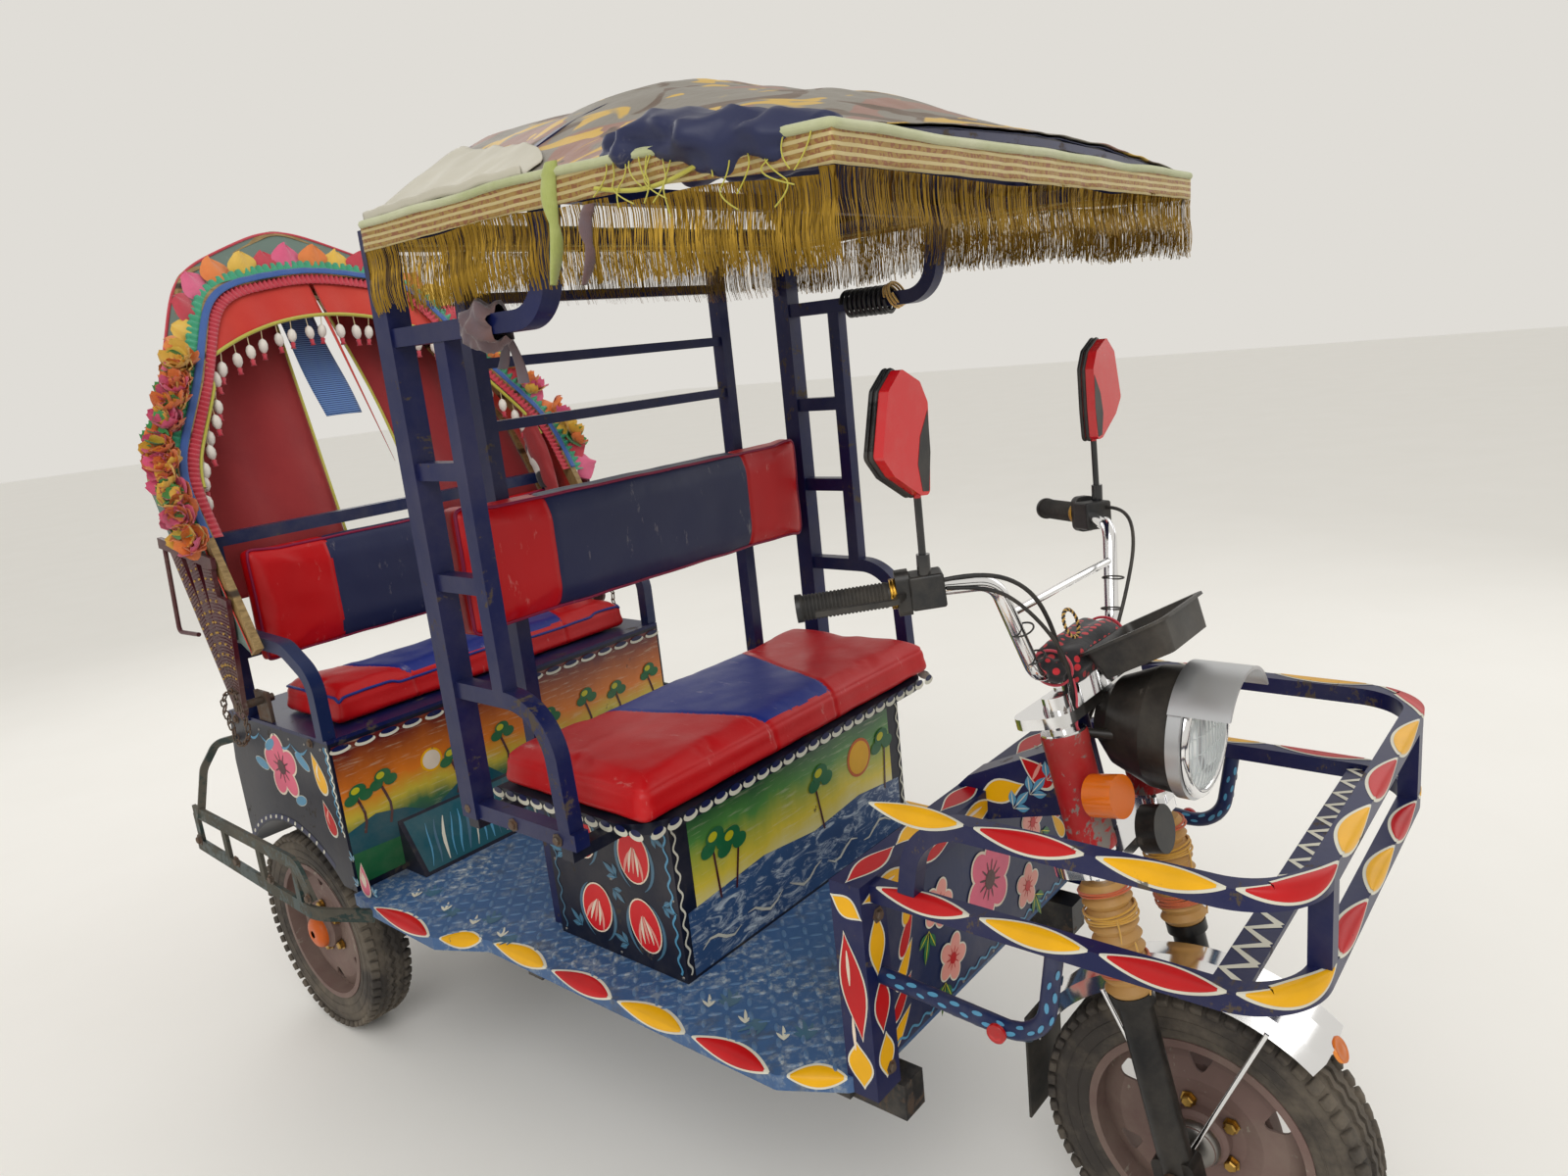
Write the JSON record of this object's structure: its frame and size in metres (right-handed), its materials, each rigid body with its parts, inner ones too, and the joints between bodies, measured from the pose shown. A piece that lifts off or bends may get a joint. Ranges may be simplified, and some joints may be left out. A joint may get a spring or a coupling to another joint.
{
  "type": "battery auto rickshaw",
  "caption": "Open-sided battery auto rickshaw: forked front wheel, driver's bench under a fringed canopy, front basket, and a rear bench under a folding cloth hood",
  "frame": {"origin": "on the ground under the middle of the overall length", "axes": "forward -Y, up +Z, the vehicle's left +X"},
  "size_m": [1.164, 2.6344, 1.895],
  "materials": {
    "tyre_rubber": "black rubber",
    "wheel_paint": "brown primer on pressed steel",
    "axle_steel": "dark grey steel",
    "frame_paint": "navy gloss paint, worn",
    "floor_paint": "worn blue paint on chequer plate",
    "panel_paint": "hand-painted blue with flowers and bands",
    "seat_vinyl": "red and blue vinyl",
    "board_paint": "blue with a white wave band",
    "battery_case": "black",
    "canopy_cloth": "coated cloth in a blotched camouflage",
    "fringe_gold": "gold tinsel",
    "guard_paint": "dark green paint",
    "black_paint": "black paint",
    "gaiter_wrap": "rubber bellows wrapped in yellow twine",
    "sleeve_paint": "red paint and chrome",
    "chrome": "polished chrome",
    "black_plastic": "black plastic",
    "mirror_shell": "red shell with black rim",
    "lamp_silver": "clear lens in a silver rim",
    "amber": "amber lens",
    "rubber": "black rubber",
    "dotted_cloth": "black cloth with red dots",
    "bamboo": "split bamboo, worn varnish",
    "slat_paint": "maroon paint with studs",
    "hood_cloth": "red cloth",
    "hood_cover": "grey-green coated cloth"
  },
  "bodies": {
    "chassis": {"rear_axle": "axle_steel", "drive_motor": "axle_steel", "leaf_springs": "axle_steel", "chassis_rails": "frame_paint", "chassis_crossmembers": "frame_paint", "floor_plate": "floor_paint", "head_frame": "panel_paint", "front_panel": "panel_paint", "basket_ring": "frame_paint", "basket_hoop": "frame_paint", "basket_supports": "frame_paint", "driver_box": "panel_paint", "battery_block": "battery_case", "driver_cushion": "seat_vinyl", "driver_backrest": "seat_vinyl", "side_ladders": "frame_paint", "armrests": "frame_paint", "back_rails": "frame_paint", "canopy_frame": "frame_paint", "canopy_cover": "canopy_cloth", "canopy_fringe": "fringe_gold", "rear_box_panels": "panel_paint", "wheel_housings": "panel_paint", "rear_seat_board": "board_paint", "rear_cushion": "seat_vinyl", "rear_backrest": "seat_vinyl", "rear_seat_rail": "frame_paint", "side_guards": "guard_paint", "hood_pivots": "axle_steel"},
    "steering": {"fork_legs": "black_paint", "front_spindle": "axle_steel", "fork_gaiters": "gaiter_wrap", "fork_yokes": "sleeve_paint", "handlebar": "chrome", "bar_controls": "black_plastic", "mirrors": "mirror_shell", "headlamp_bowl": "black_plastic", "headlamp_lens": "lamp_silver", "indicators": "amber", "horn": "black_paint", "tray": "black_plastic", "clamp_cloth": "dotted_cloth", "front_mudguard": "chrome", "mud_flap": "rubber"},
    "front_roller": {"front_tyre": "tyre_rubber", "front_wheel": "wheel_paint"},
    "rear_roller_right": {"rear_tyre_right": "tyre_rubber", "rear_wheel_right": "wheel_paint"},
    "rear_roller_left": {"rear_tyre_left": "tyre_rubber", "rear_wheel_left": "wheel_paint"},
    "hood": {"hood_front_bow": "bamboo", "hood_valance": "hood_cloth", "hood_front_cover": "hood_cloth", "hood_bows": "slat_paint", "hood_cover": "hood_cover", "hood_curtain": "hood_cloth", "hood_slats": "slat_paint"}
  },
  "joints": [
    {"name": "steering_turn", "type": "hinge", "parent": "chassis", "child": "steering", "pos_m": [0, -0.89618, 0.8165], "axis": [0, 0.225, 0.9744], "range_deg": [-40, 40]},
    {"name": "front_wheel_spin", "type": "hinge", "parent": "steering", "child": "front_roller", "pos_m": [0, -1.075, 0.242], "axis": [1, 0, 0], "continuous": true},
    {"name": "rear_wheel_right_spin", "type": "hinge", "parent": "chassis", "child": "rear_roller_right", "pos_m": [-0.413, 0.803, 0.242], "axis": [1, 0, 0], "continuous": true},
    {"name": "rear_wheel_left_spin", "type": "hinge", "parent": "chassis", "child": "rear_roller_left", "pos_m": [0.413, 0.803, 0.242], "axis": [1, 0, 0], "continuous": true},
    {"name": "hood_fold", "type": "hinge", "parent": "chassis", "child": "hood", "pos_m": [0, 0.811, 0.818], "axis": [-1, 0, 0], "range_deg": [0, 60]}
  ]
}
